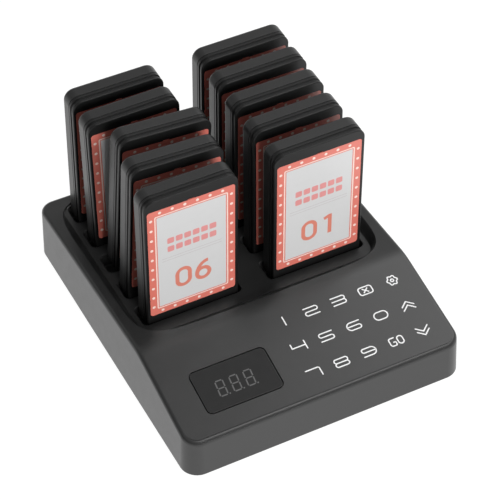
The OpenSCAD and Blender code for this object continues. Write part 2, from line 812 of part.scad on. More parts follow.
top_shell();
bottom_cover();
rubber_feet();
cover_screws();
charging_boards();
contact_pins();
board_screws();
main_board();
touch_key_board();
display_window();
display_module();
radio_module();
buzzer();
power_inlet();
switch_housing();
switch_rocker();
for (i = PAGERS) {
    pager_rear_shell(i);
    pager_front_cover(i);
    pager_label_card(i);
    pager_electronics(i);
}
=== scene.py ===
"""Looks of a desk-top charging base with a touch keypad, and of the guest pagers that stand in it.

Front is -Y, right is +X and up is +Z, with the origin on the table under the middle of the base.
Sizes are in millimetres, and turn into metres where a mesh is made.
"""

from math import atan, atan2, cos, pi, radians, sin, sqrt, tan

import bpy
from mathutils import Matrix, Vector
from mathutils.geometry import delaunay_2d_cdt


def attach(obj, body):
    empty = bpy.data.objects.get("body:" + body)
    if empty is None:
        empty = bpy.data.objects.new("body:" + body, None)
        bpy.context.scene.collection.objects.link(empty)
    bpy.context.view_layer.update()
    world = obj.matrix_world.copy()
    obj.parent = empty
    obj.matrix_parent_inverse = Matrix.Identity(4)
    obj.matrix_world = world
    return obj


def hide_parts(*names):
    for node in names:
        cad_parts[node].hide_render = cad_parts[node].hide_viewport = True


MM = 0.001

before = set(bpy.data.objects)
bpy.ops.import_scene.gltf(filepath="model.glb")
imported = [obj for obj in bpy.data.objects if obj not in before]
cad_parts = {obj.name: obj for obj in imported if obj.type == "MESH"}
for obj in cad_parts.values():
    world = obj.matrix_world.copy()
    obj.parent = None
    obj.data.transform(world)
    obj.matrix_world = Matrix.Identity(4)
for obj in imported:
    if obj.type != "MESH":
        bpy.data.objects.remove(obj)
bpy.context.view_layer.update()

# ------------------------------------------------------------------ sizes shared with the part

ROWS = 5
PAGER_W, PAGER_H, PAGER_T = 62.0, 110.5, 15.4
PAGER_R, PAGER_EDGE_R, PAGER_WALL = 7.0, 2.2, 1.6
COVER_T, RIDGE_T, GROOVE_DEPTH, JOINT_W = 6.1, 2.05, 0.7, 0.4
CARD_W, CARD_H, CARD_T, CARD_RISE, CARD_SUNK = 57.8, 88.7, 0.7, 14.0, 0.1
CARD_R, CARD_PLAY = 2.0, 0.3
NOTCH_R, NOTCH_DROP = 2.6, 1.0
SOUND_HOLES, SOUND_HOLE_D, SOUND_HOLE_PITCH, SOUND_HOLE_DROP = 5, 1.4, 3.0, 24.0
LEAN = [-2.2, -2.0, -2.1, -2.9, -3.2, -2.4, -1.9, -1.5, -1.9, -3.1]
TILT = [-0.4, -0.4, 0.0, -0.2, -0.2, 0.0, 3.2, 4.1, -0.4, 0.3]
SHIFT = [-0.2, -0.8, -0.7, 0.7, 1.2, -0.2, -1.8, 1.5, 0.0, -0.8]

SIDE_PLAY, FACE_PLAY, SEAT_GAP = 5.6, 1.8, 0.3
SLOT_L, SLOT_W, SLOT_R = PAGER_W + SIDE_PLAY, PAGER_T + FACE_PLAY, 3.2
SLOT_RIB = 8.9
SLOT_PITCH = SLOT_W + SLOT_RIB
BLOCK_D = ROWS * SLOT_W + (ROWS - 1) * SLOT_RIB
COLUMN_GAP, SIDE_STRIP, FRONT_STRIP, REAR_STRIP = 19.3, 17.75, 24.1, 12.3
PANEL_RUN = 72.0
BASE_W = 2 * SLOT_L + COLUMN_GAP + 2 * SIDE_STRIP
BASE_D = PANEL_RUN + FRONT_STRIP + BLOCK_D + REAR_STRIP
COLUMN_X = (SLOT_L + COLUMN_GAP) / 2
FRONT_Y, REAR_Y = -BASE_D / 2, BASE_D / 2
BEND_Y = FRONT_Y + PANEL_RUN
FIRST_SLOT_Y = BEND_Y + FRONT_STRIP
LAST_SLOT_Y = FIRST_SLOT_Y + BLOCK_D

FOOT_H = 1.0
SHELL_Z = FOOT_H + 0.6
FRONT_Z, BODY_H, REAR_Z = FOOT_H + 27.4, FOOT_H + 44.0, FOOT_H + 37.0
POCKET_Z = FOOT_H + 36.2
WELL_Z = POCKET_Z - 10.0
WELL_FLOOR = 1.8
PLATFORM_H, PLATFORM_HALF = 1.4, 12.0
PLATFORM_Z = WELL_Z + PLATFORM_H
PAGER_Z = PLATFORM_Z + SEAT_GAP
CONTACT_PITCH, PIN_HOLE_D = 12.0, 2.0
POCKET_SIDE, POCKET_FRONT, POCKET_REAR = 3.6, 9.5, 3.0
SIDE_RUN, FRONT_RUN, REAR_RUN = 5.4, 9.0, 3.0

CORNER_R, EDGE_R, BEND_R, SHELL_WALL = 11.5, 2.6, 45.0, 2.4
LEAN_IN = tan(radians(2.3))
DECK_A = atan((BODY_H - REAR_Z) / (REAR_Y - BEND_Y))
PANEL_A = atan((BODY_H - FRONT_Z) / PANEL_RUN)
BEND_HALF, BEND_TURN = (DECK_A + PANEL_A) / 2, (DECK_A - PANEL_A) / 2
BEND_CY = BEND_Y - BEND_R / cos(BEND_HALF) * sin(BEND_TURN)
BEND_CZ = BODY_H - BEND_R / cos(BEND_HALF) * cos(BEND_TURN)

KEY_PITCH, KEY_FIRST, KEY_COUNT = (19.05, 20.1), (-1.3, 17.8), (5, 3)
WINDOW_W, WINDOW_H, WINDOW_R, WINDOW_T, WINDOW_GAP = 50.4, 30.2, 3.4, 1.4, 0.6
WINDOW_AT = (48.0 - BASE_W / 2, 32.0)
WINDOW_BEVEL, WINDOW_LEDGE, WINDOW_SUNK = 0.15, 2.4, 0.15

INLET_X, INLET_Z, INLET_HOLE_D = 58.0, 8.7, 8.4
SWITCH_X, SWITCH_Z, SWITCH_RECESS = 24.0, 17.5, 2.0
SWITCH_BEZEL, SWITCH_R, SWITCH_LEDGE, REAR_BEVEL = (14.6, 17.6), 1.2, 2.2, 0.2

# ------------------------------------------------------------------ outlines and profiles


def round_rect(w, d, r, steps=8, middle=(0, 0)):
    """Round-cornered rectangle, counter-clockwise, as (arc centre, direction) pairs."""
    corners = [(1, -1, -90), (1, 1, 0), (-1, 1, 90), (-1, -1, 180)]
    spots = []
    for sx, sy, start in corners:
        centre = (middle[0] + sx * (w / 2 - r), middle[1] + sy * (d / 2 - r))
        for i in range(steps + 1):
            a = radians(start + 90 * i / steps)
            spots.append((centre, (cos(a), sin(a))))
    return spots


def outline(spots, offset):
    return [(c[0] + offset * n[0], c[1] + offset * n[1]) for c, n in spots]


def circle(r, middle=(0, 0), steps=24):
    return [(middle[0] + r * cos(2 * pi * i / steps), middle[1] + r * sin(2 * pi * i / steps))
            for i in range(steps)]


def rounded_corner(p, into, out, r, steps):
    """Arc of radius r from one way to the next round the corner p, as (point, way) pairs."""
    turn = atan2(into.x * out.y - into.y * out.x, into.dot(out))
    side = Vector((-into.y, into.x)) * (r if turn > 0 else -r)
    centre = p - into * r * tan(abs(turn) / 2) + side
    for k in range(steps + 1):
        spin = Matrix.Rotation(turn * k / steps, 2)
        yield centre - spin @ side, spin @ into


def fillet_path(corners, radii, closed=False, steps=6):
    """Line through the corners, each rounded to its radius, as points (x, y)."""
    n = len(corners)
    path = []
    for i in range(n):
        r = radii[i] if isinstance(radii, (list, tuple)) else radii
        p = Vector(corners[i])
        if r <= 0 or not closed and i in (0, n - 1):
            path.append(p)
            continue
        into = (p - Vector(corners[i - 1])).normalized()
        out = (Vector(corners[(i + 1) % n]) - p).normalized()
        path += [point for point, _ in rounded_corner(p, into, out, r, steps)]
    kept = [p for i, p in enumerate(path) if (p - path[i - 1]).length > 1e-4 or i == 0 and not closed]
    return [tuple(p) for p in kept]


def profile(corners, radii, steps=4):
    """Section line with rounded corners, as (offset, height, normal). The solid is on its left."""
    path = [Vector(p) for p in corners]
    ways = [(b - a).normalized() for a, b in zip(path, path[1:])]
    made = [(path[0], ways[0])]
    for p, r, into, out in zip(path[1:-1], radii, ways, ways[1:]):
        made += rounded_corner(p, into, out, r, steps)
    made.append((path[-1], ways[-1]))
    return [(p.x, p.y, (way.y, -way.x)) for p, way in made]


def inside(point, loop):
    """True where the point lies inside the loop."""
    x, y = point
    crossings = False
    for i in range(len(loop)):
        x0, y0 = loop[i - 1]
        x1, y1 = loop[i]
        if (y0 > y) != (y1 > y) and x < x0 + (y - y0) / (y1 - y0) * (x1 - x0):
            crossings = not crossings
    return crossings


class Skin:
    """Faces that hold the form's own normal at each corner, so that broad flats stay flat."""

    def __init__(self):
        self.points, self.normals, self.faces, self.inks = [], [], [], []

    def corner(self, point, normal):
        self.points.append(Vector(point))
        self.normals.append(Vector(normal).normalized())
        return len(self.points) - 1

    def face(self, corners, ink=0):
        a, b, c = (self.points[corners[k]] for k in (0, 1, 2))
        facing = (b - a).cross(c - a)
        if len(corners) == 4:
            facing += (c - a).cross(self.points[corners[3]] - a)
        if facing.dot(sum((self.normals[k] for k in corners), Vector())) < 0:
            corners = corners[::-1]
        self.faces.append(corners)
        self.inks.append(ink)

    def strips(self, rows, closed=True, ink=0, leave_out=None):
        """Faces between rows of (point, normal) pairs, apart from one (row, column) that is left out."""
        at = [[self.corner(*pair) for pair in row] for row in rows]
        n = len(rows[0])
        for j in range(len(rows) - 1):
            for i in range(n if closed else n - 1):
                k = (i + 1) % n
                if (j, i) != leave_out:
                    self.face([at[j][i], at[j][k], at[j + 1][k], at[j + 1][i]], ink)

    def sweep(self, spots, section, lift, ink=0):
        """A section of (offset, height, normal) points run round an outline."""
        rows = []
        for offset, height, normal in section:
            row = []
            for c, n in spots:
                point = (c[0] + offset * n[0], c[1] + offset * n[1], height)
                row.append((lift @ Vector(point),
                            lift.to_3x3() @ Vector((n[0] * normal[0], n[1] * normal[0], normal[1]))))
            rows.append(row)
        self.strips(rows, ink=ink)

    def patch(self, loop, holes, place, ink=0, lines=()):
        """Fills between a loop and its holes. place(x, y) gives a point and its normal."""
        points, edges = [], []
        for ring in [loop, *holes]:
            first = len(points)
            points += [Vector(p) for p in ring]
            edges += [(first + i, first + (i + 1) % len(ring)) for i in range(len(ring))]
        for line in lines:
            edges.append((len(points), len(points) + 1))
            points += [Vector(p) for p in line]
        flat, _, triangles, *_ = delaunay_2d_cdt(points, edges, [], 1, 1e-5)
        at = [self.corner(*place(p.x, p.y)) for p in flat]
        for t in triangles:
            middle = (flat[t[0]] + flat[t[1]] + flat[t[2]]) / 3
            if not any(inside(middle, hole) for hole in holes):
                self.face([at[k] for k in t], ink)

    def hole(self, loop, lift, high, low):
        """Wall of a round hole between two heights."""
        middle = sum((Vector(p) for p in loop), Vector((0, 0))) / len(loop)
        rows = []
        for height in (high, low):
            rows.append([(lift @ Vector((*p, height)), lift.to_3x3() @ Vector((*(middle - Vector(p)), 0)))
                         for p in loop])
        self.strips(rows)

    def ribbon(self, path, width, place, ink=0, closed=False):
        """A flat stroke of even width along a path."""
        n = len(path)
        points = [Vector(p) for p in path]
        rows = [[], []]
        for i, p in enumerate(points):
            before = points[i] - points[i - 1] if i or closed else points[1] - points[0]
            after = points[(i + 1) % n] - p if i + 1 < n or closed else before
            before, after = before.normalized(), after.normalized()
            across = Vector((-(before + after).y, (before + after).x)).normalized()
            reach = width / 2 / max(0.5, across.dot(Vector((-after.y, after.x))))
            rows[0].append(place(*(p + across * reach)))
            rows[1].append(place(*(p - across * reach)))
        self.strips(rows, closed=closed, ink=ink)

    def piece(self, name, materials, body, slot=None, stands_for=(), place=None):
        """Makes the mesh, puts it in its place and lets it ride on a body."""
        mesh = bpy.data.meshes.new(name)
        mesh.from_pydata([p * MM for p in self.points], [], self.faces)
        for material in materials:
            mesh.materials.append(material)
        mesh.polygons.foreach_set("material_index", self.inks)
        mesh.polygons.foreach_set("use_smooth", [True] * len(self.faces))
        mesh.normals_split_custom_set_from_vertices(self.normals)
        made = bpy.data.objects.new(name, mesh)
        bpy.context.scene.collection.objects.link(made)
        if place is not None:
            made.matrix_world = place
        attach(made, body)
        if stands_for:
            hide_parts(*stands_for)


def level(z):
    """Place for patches that lie level and face up."""
    return lambda x, y: ((x, y, z), (0, 0, 1))


def on(matrix, height=0.0, up=1):
    """Place for patches in the plane of a matrix."""
    turn = matrix.to_3x3()
    return lambda x, y: (matrix @ Vector((x, y, height)), turn @ Vector((0, 0, up)))


# ------------------------------------------------------------------ top shell


def bend_end_y(a):
    return BEND_CY + BEND_R * sin(a)


def top_z(y):
    if y < bend_end_y(-PANEL_A):
        return BODY_H - (BEND_Y - y) * tan(PANEL_A)
    if y > bend_end_y(DECK_A):
        return BODY_H - (y - BEND_Y) * tan(DECK_A)
    return BEND_CZ + sqrt(BEND_R**2 - (y - BEND_CY) ** 2)


def top_normal(y):
    slope = (top_z(y + 0.01) - top_z(y - 0.01)) / 0.02
    return Vector((0, -slope, 1)).normalized()


def on_top(x, y):
    return (x, y, top_z(y)), top_normal(y)


CORNER_STEPS, BEND_STEPS, EDGE_STEPS, POCKET_STEPS = 12, 12, 8, 16
BEND_YS = [bend_end_y(-PANEL_A + (PANEL_A + DECK_A) * i / BEND_STEPS) for i in range(BEND_STEPS + 1)]


def half_outline():
    """Right half of the body's outline, front to back, as (arc centre, direction) pairs."""
    x, y = BASE_W / 2 - CORNER_R, BASE_D / 2 - CORNER_R
    angles = [radians(90 * i / CORNER_STEPS) for i in range(CORNER_STEPS + 1)]
    front = [((x, -y), (cos(a - pi / 2), sin(a - pi / 2))) for a in angles]
    bend = [((x, bend_y), (1.0, 0.0)) for bend_y in BEND_YS]
    rear = [((x, y), (cos(a), sin(a))) for a in angles]
    return front + bend + rear


HALF = half_outline()
BODY_SPOTS = HALF + [((-c[0], c[1]), (-n[0], n[1])) for c, n in HALF[::-1]]
REAR_COLUMN = len(HALF) - 1


def wall_point(spot, inset, z):
    """Point of the body's outline drawn in by inset, on the drafted wall at height z."""
    (cx, cy), (nx, ny) = spot
    r = CORNER_R - inset - (z - FOOT_H) * LEAN_IN
    return Vector((cx + r * nx, cy + r * ny, z))


def edge_row(share):
    """Row of the rounded top edge: share is 0 on the wall and 1 on the top."""
    a = share * pi / 2
    row = []
    for spot in BODY_SPOTS:
        inset = EDGE_R * (1 - cos(a))
        y = spot[0][1] + (CORNER_R - inset) * spot[1][1]
        point = wall_point(spot, inset, top_z(y) - EDGE_R * (1 - sin(a)))
        wall = Vector((spot[1][0], spot[1][1], LEAN_IN)).normalized()
        row.append((point, wall * cos(a) + top_normal(point.y) * sin(a)))
    return row


def wall_row(z, inset=0.0, down=0.0):
    """Row of the side wall at one height, its normal turned down by an angle."""
    row = []
    for spot in BODY_SPOTS:
        wall = Vector((spot[1][0], spot[1][1], LEAN_IN)).normalized()
        row.append((wall_point(spot, inset, z), wall * cos(down) - Vector((0, 0, sin(down)))))
    return row


FOOT_HALF = (COLUMN_X + SLOT_L / 2 + POCKET_SIDE, (BLOCK_D + POCKET_FRONT + POCKET_REAR) / 2)
FOOT_MID = (FIRST_SLOT_Y - POCKET_FRONT + LAST_SLOT_Y + POCKET_REAR) / 2
RIM_HALF = (FOOT_HALF[0] + SIDE_RUN, FOOT_HALF[1] + (FRONT_RUN + REAR_RUN) / 2)
RIM_MID = FOOT_MID + (REAR_RUN - FRONT_RUN) / 2
FOOT_POWER, RIM_POWER = 16, 7


def superellipse(a, half, mid, power):
    x = abs(cos(a)) ** (2 / power) * (1 if cos(a) >= 0 else -1)
    y = abs(sin(a)) ** (2 / power) * (1 if sin(a) >= 0 else -1)
    return Vector((half[0] * x, mid + half[1] * y))


def pocket_point(a, s):
    """Point of the pocket's wall: s is 0 at its foot and 1 on the deck."""
    p = superellipse(a, FOOT_HALF, FOOT_MID, FOOT_POWER) * (1 - s)
    p += superellipse(a, RIM_HALF, RIM_MID, RIM_POWER) * s
    rise = (s + (1 - cos(pi * s)) / 2) / 2
    return Vector((p.x, p.y, POCKET_Z + (top_z(p.y) - POCKET_Z) * rise))


def pocket_angles():
    """Angles that spread the points of the pocket's outline evenly round its corners."""
    quarter = [radians(v) for v in (0.0005, 0.05, 1, 3, 6, 10, 15, 21, 28, 36, 45)]
    quarter += [pi / 2 - v for v in quarter[-2::-1]]
    return [q * pi / 2 + v for q in range(4) for v in quarter]


def pocket_rows(steps):
    rows = []
    angles = pocket_angles()
    for j in range(steps + 1):
        s = j / steps
        row = []
        for i, a in enumerate(angles):
            point = pocket_point(a, s)
            low, high = max(s - 0.02, 0), min(s + 0.02, 1)
            up = pocket_point(a, high) - pocket_point(a, low)
            along = pocket_point(angles[(i + 1) % len(angles)], s) - pocket_point(angles[i - 1], s)
            normal = along.cross(up)
            if normal.z < 0:
                normal = -normal
            if j == 0:
                normal = Vector((0, 0, 1))
            if j == steps:
                normal = top_normal(point.y)
            row.append((point, normal))
        rows.append(row)
    return rows


def slot_middles():
    """Middle of each slot, in the pagers' order."""
    for column in (1, -1):
        for row in range(ROWS):
            yield column * COLUMN_X, FIRST_SLOT_Y + SLOT_W / 2 + row * SLOT_PITCH


def panel_matrix():
    """Frame of the front panel: x right, y up the slope from the front edge, z out."""
    return Matrix.Translation((0, FRONT_Y, FRONT_Z)) @ Matrix.Rotation(PANEL_A, 4, "X")


def rear_wall_matrix(x, z):
    """Frame of the rear wall: x right, y down the wall, z out of it."""
    place = Matrix.Translation((x, REAR_Y - (z - FOOT_H) * LEAN_IN, z))
    return place @ Matrix.Rotation(atan(LEAN_IN) - pi / 2, 4, "X")


SLOT_RIM_R, SLOT_FOOT_R = 0.7, 1.0


def add_slot(skin, middle):
    """One slot: a rounded rim, upright walls, and the contact platform across its floor."""
    spots = round_rect(SLOT_L, SLOT_W, SLOT_R, middle=middle)
    section = profile([(SLOT_R + 3, POCKET_Z), (SLOT_R, POCKET_Z), (SLOT_R, WELL_Z), (SLOT_R - 3, WELL_Z)],
                      [SLOT_RIM_R, SLOT_FOOT_R])[1:]
    skin.sweep(spots, section, Matrix.Identity(4))
    skin.patch(outline(spots, SLOT_R - 3), [], level(WELL_Z))
    x0, x1 = middle[0] - PLATFORM_HALF, middle[0] + PLATFORM_HALF
    y0, y1 = middle[1] - SLOT_W / 2, middle[1] + SLOT_W / 2
    holes = [circle(PIN_HOLE_D / 2, (middle[0] + side * CONTACT_PITCH / 2, middle[1]))
             for side in (-1, 1)]
    bevel = 0.4
    skin.patch([(x0 + bevel, y0), (x1 - bevel, y0), (x1 - bevel, y1), (x0 + bevel, y1)], holes,
               level(PLATFORM_Z))
    for x, way in ((x0, -1), (x1, 1)):
        ends = ((x, WELL_Z, way, 0), (x, PLATFORM_Z - bevel, way, 0),
                (x - way * bevel, PLATFORM_Z, 0, 1))
        rows = [[((px, y, pz), (nx, 0, nz)) for y in (y0, y1)] for px, pz, nx, nz in ends]
        skin.strips(rows, closed=False)
    for hole in holes:
        skin.hole(hole, Matrix.Identity(4), PLATFORM_Z, WELL_Z - WELL_FLOOR)


def make_top_shell(material):
    skin = Skin()
    z_low, soft = SHELL_Z, 0.35
    rows = [wall_row(z_low, inset=SHELL_WALL, down=pi / 2), wall_row(z_low, inset=soft, down=pi / 2)]
    rows += [wall_row(z_low + soft * (1 - sin(a)), soft * (1 - cos(a)), a)
             for a in (radians(45), 0.0)]
    edge = [edge_row(j / EDGE_STEPS) for j in range(EDGE_STEPS + 1)]
    last = len(rows) - 1
    skin.strips(rows + edge, leave_out=(last, REAR_COLUMN))
    add_rear_wall(skin, rows[last], edge[0])

    panel = panel_matrix()
    window = outline(window_spots(WINDOW_GAP), WINDOW_R + WINDOW_GAP + WINDOW_BEVEL)
    window_on_top = [(panel @ Vector((*p, 0))).xy[:] for p in window]
    rim = [p.xy[:] for p, _ in pocket_rows(1)[1]]
    top = [p.xy[:] for p, _ in edge[-1]]
    lines = [((-half, y), (half, y)) for y, half in
             zip(BEND_YS, [edge[-1][CORNER_STEPS + 1 + i][0].x for i in range(BEND_STEPS + 1)])]
    skin.patch(top, [rim, window_on_top], on_top, lines=lines)
    skin.strips(pocket_rows(POCKET_STEPS))

    foot = [p.xy[:] for p, _ in pocket_rows(1)[0]]
    slots = [outline(round_rect(SLOT_L, SLOT_W, SLOT_R, middle=m), SLOT_R + SLOT_RIM_R)
             for m in slot_middles()]
    skin.patch(foot, slots, level(POCKET_Z))
    for middle in slot_middles():
        add_slot(skin, middle)
    add_window_recess(skin, panel)
    skin.piece("shell_top", [material], "base", "base_plastic", ["top_shell"])


def recess_section(r, bevel, depth):
    """Wall of a recess with a small bevel round its mouth, as (offset, height, normal)."""
    slope = sqrt(0.5)
    return [(r + bevel, 0, (0, 1)), (r + bevel / 4, -bevel / 4, (-slope, slope)),
            (r, -bevel, (-1, 0)), (r, -depth, (-1, 0))]


def window_spots(gap=0.0):
    """Outline of the window, or of a recess that leaves a gap all round it."""
    return round_rect(WINDOW_W + 2 * gap, WINDOW_H + 2 * gap, WINDOW_R + gap, middle=WINDOW_AT)


def add_window_recess(skin, panel):
    """Recess for the display window, with the ledge that it is glued to."""
    r = WINDOW_R + WINDOW_GAP
    spots = window_spots(WINDOW_GAP)
    skin.sweep(spots, recess_section(r, WINDOW_BEVEL, WINDOW_T), panel)
    skin.sweep(spots, [(r, -WINDOW_T, (0, 1)), (r - WINDOW_LEDGE, -WINDOW_T, (0, 1))], panel)


def add_rear_wall(skin, low, high):
    """The flat of the rear wall, with the power inlet's hole and the switch's recess."""
    wall = rear_wall_matrix(0, SHELL_Z)
    back = wall.inverted()
    loop = [(back @ p).xy[:] for p in (low[REAR_COLUMN][0], high[REAR_COLUMN][0],
                                        high[REAR_COLUMN + 1][0], low[REAR_COLUMN + 1][0])]

    def middle_of(x, z):
        return (back @ rear_wall_matrix(x, z).translation).xy

    centre, r = middle_of(INLET_X, INLET_Z), INLET_HOLE_D / 2
    inlet = [(centre, way) for way in circle(1.0, steps=32)]
    switch = round_rect(*SWITCH_BEZEL, SWITCH_R, middle=middle_of(SWITCH_X, SWITCH_Z))
    skin.patch(loop, [outline(inlet, r + REAR_BEVEL), outline(switch, SWITCH_R + REAR_BEVEL)], on(wall))
    skin.sweep(switch, recess_section(SWITCH_R, REAR_BEVEL, SWITCH_RECESS), wall)
    ledge = [(SWITCH_R, -SWITCH_RECESS, (0, 1)), (SWITCH_R - SWITCH_LEDGE, -SWITCH_RECESS, (0, 1))]
    skin.sweep(switch, ledge, wall)
    skin.sweep(inlet, recess_section(r, REAR_BEVEL, SHELL_WALL), wall)


# ------------------------------------------------------------------ window, digits and legends


def make_window(material, rim_material):
    """Polished window with a rounded edge, just below the panel."""
    skin = Skin()
    panel = panel_matrix()
    spots = window_spots()
    top, rim, edge_r = -WINDOW_SUNK, 0.5, 0.35
    section = profile([(WINDOW_R, -WINDOW_T), (WINDOW_R, top), (WINDOW_R - rim, top)], [edge_r])
    skin.sweep(spots, section, panel, ink=1)
    skin.patch(outline(spots, WINDOW_R - rim), [], on(panel, top))
    materials = [material, rim_material]
    skin.piece("window_smoked", materials, "base", "window_plastic", ["display_window"])


DIGITS, DIGIT_HEIGHT, DIGIT_WIDTH, DIGIT_PITCH, DIGIT_SLANT = 3, 10.6, 4.9, 9.35, 0.085
DIGIT_FIRST = (-10.45, -1.3)
SEGMENT_W, POINT_D, POINT_GAP = 0.8, 1.0, 1.3
# Print lies just above its surface, and strokes that cross lie one step above each other
PRINT_LIFT, PRINT_STEP = 0.02, 0.004


def make_display_digits(material):
    """Three seven-segment digits with their points, unlit behind the window."""
    skin = Skin()
    place = on(panel_matrix(), PRINT_LIFT / 2 - WINDOW_SUNK)
    w, h, gap = DIGIT_WIDTH / 2, DIGIT_HEIGHT / 2, 0.45
    for k in range(DIGITS):
        cx = WINDOW_AT[0] + DIGIT_FIRST[0] + k * DIGIT_PITCH
        cy = WINDOW_AT[1] + DIGIT_FIRST[1]

        def slanted(x, y, cx=cx, cy=cy):
            return place(cx + x + DIGIT_SLANT * y, cy + y)

        for y in (-h, 0, h):
            skin.ribbon([(-w + gap, y), (w - gap, y)], SEGMENT_W, slanted)
        for x in (-w, w):
            for y in (-h, 0):
                skin.ribbon([(x, y + gap), (x, y + h - gap)], SEGMENT_W, slanted)
        skin.patch(circle(POINT_D / 2, (w + POINT_GAP, -h), 16), [], slanted)
    skin.piece("display_digits", [material], "base", "window_plastic")


def key_strokes():
    """Strokes of each key's legend as (corners, radius, closed), keys row by row from the top."""
    w, h = 4.55, 2.75
    turn = h / 2
    box = [(-w, -h), (w, -h), (w, h), (-w, h)]
    gear = [((3.15 + 0.4 * cos(6 * a)) * cos(a), (3.15 + 0.4 * cos(6 * a)) * sin(a))
            for a in (2 * pi * i / 72 for i in range(72))]
    return {
        "1": [([(0, 3.0), (0, -3.0)], 0, False)],
        "2": [([(-w, h), (w, h), (w, 0), (-w, 0), (-w, -h), (w, -h)], turn, False)],
        "3": [([(-w, h), (w, h), (w, 0), (-w, 0)], turn, False),
              ([(-w, -h), (w, -h), (w, 0), (w - 2, 0)], turn, False)],
        "clear": [(box, 1.6, True), ([(-1.6, -1.35), (1.6, 1.35)], 0, False),
                  ([(-1.6, 1.35), (1.6, -1.35)], 0, False)],
        "settings": [(gear, 0, True), (circle(1.0), 0, True)],
        "4": [([(-w, 3.0), (-w, 0), (w, 0)], 0.3, False), ([(w, 3.0), (w, -3.0)], 0, False)],
        "5": [([(w, h), (-w, h), (-w, 0), (w, 0), (w, -h), (-w, -h)], turn, False)],
        "6": [([(w, h), (-w, h), (-w, -h), (w, -h), (w, 0), (-w, 0)], [0, h, h, turn, turn, 0], False)],
        "0": [(box, h, True)],
        "up": [([(-4.1, -0.5), (0, 2.8), (4.1, -0.5)], 0, False),
               ([(-4.1, -3.2), (0, 0.1), (4.1, -3.2)], 0, False)],
        "7": [([(-w, h), (w, h), (w, -3.0)], 1.1, False)],
        "8": [([(-w, 0), (w, 0), (w, h), (-w, h)], turn, True),
              ([(-w, -h), (w, -h), (w, 0), (-w, 0)], turn, True)],
        "9": [([(-w, -h), (w, -h), (w, h), (-w, h), (-w, 0), (w, 0)], [0, h, h, turn, turn, 0], False)],
        "go": [([(-0.8, h), (-w, h), (-w, -h), (-0.6, -h), (-0.6, -0.3), (-2.0, -0.3)],
                [0, 1.3, 1.3, 0.8, 0.3, 0], False),
               ([(1.0, -h), (4.6, -h), (4.6, h), (1.0, h)], 1.7, True)],
        "down": [([(-4.1, 2.8), (0, -0.5), (4.1, 2.8)], 0, False),
                 ([(-4.1, 0.0), (0, -3.3), (4.1, 0.0)], 0, False)],
    }


KEY_STROKE_W = 0.85


def make_key_legends(material):
    """Printed legends of the touch keys."""
    skin = Skin()
    panel = panel_matrix()
    for i, strokes in enumerate(key_strokes().values()):
        cx = KEY_FIRST[0] + KEY_PITCH[0] * (i % KEY_COUNT[0])
        cy = KEY_FIRST[1] + KEY_PITCH[1] * (KEY_COUNT[1] - 1 - i // KEY_COUNT[0])
        for k, (corners, radius, closed) in enumerate(strokes):
            path = fillet_path(corners, radius, closed) if radius else corners
            place = on(panel, PRINT_LIFT + PRINT_STEP * k)
            skin.ribbon([(cx + x, cy + y) for x, y in path], KEY_STROKE_W, place, closed=closed)
            if not closed:
                for x, y in (path[0], path[-1]):
                    end = circle(KEY_STROKE_W / 2, (cx + x, cy + y), 16)
                    skin.patch(end, [], on(panel, PRINT_LIFT - PRINT_STEP / 4))
    skin.piece("key_legends", [material], "base")


# ------------------------------------------------------------------ pagers


def pager_matrix(i, middle):
    """Frame of pager i: x right, y back from the front face, z up from the foot."""
    tilt, lean = radians(TILT[i]), radians(LEAN[i])
    lift = PLATFORM_HALF * sin(abs(tilt))
    at = Vector((middle[0] + SHIFT[i], middle[1] - PAGER_T / 2, PAGER_Z + lift))
    return Matrix.Translation(at * MM) @ Matrix.Rotation(-lean, 4, "X") @ Matrix.Rotation(tilt, 4, "Y")


# Frame of outlines seen from the front: x right, y up from the foot, z out of the back
UPRIGHT = Matrix(((1, 0, 0, 0), (0, 0, 1, 0), (0, 1, 0, 0), (0, 0, 0, 1)))
PAGER_SPOTS = round_rect(PAGER_W, PAGER_H, PAGER_R, 10, (0, PAGER_H / 2))


def card_recess_loop():
    """Outline of the card's recess, with the thumb notch in its upper edge."""
    w, h = CARD_W + CARD_PLAY, CARD_H + CARD_PLAY
    middle = CARD_RISE + CARD_H / 2
    top = middle + h / 2
    loop = []
    for p in outline(round_rect(w, h, CARD_R, 6, (0, middle)), CARD_R):
        if p[1] > top - 1e-6 and p[0] < 0 and not any(abs(q[0]) < NOTCH_R for q in loop):
            centre = top - NOTCH_DROP
            reach = sqrt(NOTCH_R**2 - NOTCH_DROP**2)
            start = atan2(NOTCH_DROP, reach)
            for k in range(13):
                a = start + (pi - 2 * start) * k / 12
                loop.append((NOTCH_R * cos(a), centre + NOTCH_R * sin(a)))
        loop.append(p)
    return loop


def make_front_cover_mesh():
    skin = Skin()
    g, r = -GROOVE_DEPTH, PAGER_R
    a, b, c = RIDGE_T, COVER_T - RIDGE_T, COVER_T
    rim = 1.4
    section = profile([(r - rim, 0), (r, 0), (r, a), (r + g, a), (r + g, b), (r, b), (r, c), (r + g, c)],
                      [0.8, 0.3, 0.2, 0.2, 0.3, 0.3], steps=4)
    skin.sweep(PAGER_SPOTS, section, UPRIGHT)
    recess = card_recess_loop()
    depth = CARD_SUNK + CARD_T
    skin.patch(outline(PAGER_SPOTS, r - rim), [recess], on(UPRIGHT, 0, -1))
    rows = []
    for z in (0, depth):
        row = []
        for i, p in enumerate(recess):
            along = Vector(recess[(i + 1) % len(recess)]) - Vector(recess[i - 1])
            row.append((UPRIGHT @ Vector((*p, z)), UPRIGHT.to_3x3() @ Vector((-along.y, along.x, 0))))
        rows.append(row)
    skin.strips(rows)
    skin.patch(recess, [], on(UPRIGHT, depth, -1))
    return skin


